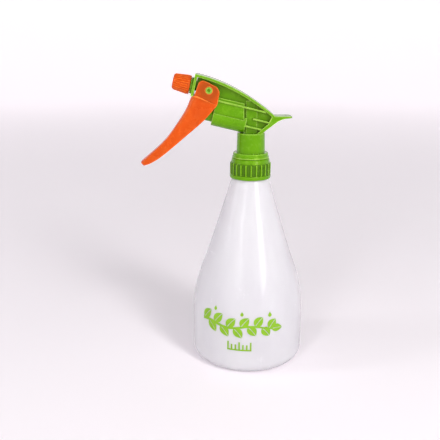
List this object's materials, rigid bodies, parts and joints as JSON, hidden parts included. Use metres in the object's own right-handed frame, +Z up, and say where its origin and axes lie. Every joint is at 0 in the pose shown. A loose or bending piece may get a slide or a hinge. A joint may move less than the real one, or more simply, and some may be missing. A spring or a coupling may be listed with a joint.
{
  "type": "hand mister",
  "caption": "Trigger spray bottle: tapering translucent bottle, ribbed screw collar, ribbed pump head, pivoting lever trigger and adjustable screw nozzle.",
  "frame": {"origin": "on the bottle's axis, at the plane the bottle stands on; the flat middle of the base is 0.8 mm above it", "axes": "+Z up along the bottle's axis; the nozzle points towards -X and up by 13 degrees; the hand rest points towards +X"},
  "size_m": [0.1301, 0.09, 0.2299],
  "materials": {
    "green_polypropylene": "satin moulded",
    "orange_polypropylene": "satin moulded",
    "milky_polyethylene": "soft sheen, translucent, blow moulded",
    "green_print": "screen-printed ink",
    "white_polyethylene": "smooth moulded",
    "clear_tube": "extruded",
    "gasket_foam": "soft foam",
    "spring_steel": "drawn wire",
    "valve_glass": "polished"
  },
  "bodies": {
    "bottle": {"bottle": "milky_polyethylene"},
    "head": {"head_body": "green_polypropylene", "valve_insert": "white_polyethylene", "neck_gasket": "gasket_foam", "dip_tube": "clear_tube", "return_spring": "spring_steel", "outlet_spring": "spring_steel", "swirl_core": "white_polyethylene"},
    "collar": {"screw_collar": "green_polypropylene"},
    "trigger": {"trigger": "orange_polypropylene"},
    "plunger": {"plunger": "green_polypropylene", "piston_cup": "white_polyethylene"},
    "inlet_ball": {"inlet_ball": "valve_glass"},
    "outlet_ball": {"outlet_ball": "valve_glass"},
    "nozzle_seal": {"nozzle_seal": "white_polyethylene"},
    "nozzle_cap": {"nozzle_cap": "orange_polypropylene"}
  },
  "joints": [
    {"name": "head_lift", "type": "slide", "parent": "bottle", "child": "head", "axis": [0, 0, 1], "range_m": [0, 0.00635]},
    {"name": "collar_turn", "type": "hinge", "parent": "head", "child": "collar", "pos_m": [0, 0, 0.158], "axis": [0, 0, 1], "range_deg": [0, 540]},
    {"name": "trigger_pivot", "type": "hinge", "parent": "head", "child": "trigger", "pos_m": [-0.03256, 0, 0.21779], "axis": [0, -1, 0], "range_deg": [0, 24], "stiffness_Nm_per_rad": 0.25, "springref_deg": -14.32},
    {"name": "plunger_slide", "type": "slide", "parent": "head", "child": "plunger", "axis": [0.9744, 0, -0.225], "range_m": [0, 0.008], "deforming": ["return_spring"]},
    {"name": "inlet_ball_lift", "type": "slide", "parent": "head", "child": "inlet_ball", "axis": [0, 0, 1], "range_m": [0, 0.0025]},
    {"name": "outlet_ball_lift", "type": "slide", "parent": "head", "child": "outlet_ball", "axis": [-0.9744, 0, 0.225], "range_m": [0, 0.0012], "stiffness_N_per_m": 60, "springref_m": -0.002, "deforming": ["outlet_spring"]},
    {"name": "nozzle_out", "type": "slide", "parent": "head", "child": "nozzle_seal", "axis": [-0.9744, 0, 0.225], "range_m": [0, 0.00375]},
    {"name": "nozzle_turn", "type": "hinge", "parent": "nozzle_seal", "child": "nozzle_cap", "pos_m": [-0.05439, 0, 0.22283], "axis": [-0.9744, 0, 0.225], "range_deg": [0, 540]}
  ],
  "couplings": [
    {"joint": "collar_turn", "follows": "head_lift", "rad_per_m": 1484.2},
    {"joint": "trigger_pivot", "follows": "plunger_slide", "rad_per_m": 52.35},
    {"joint": "nozzle_turn", "follows": "nozzle_out", "rad_per_m": 2513.2}
  ]
}
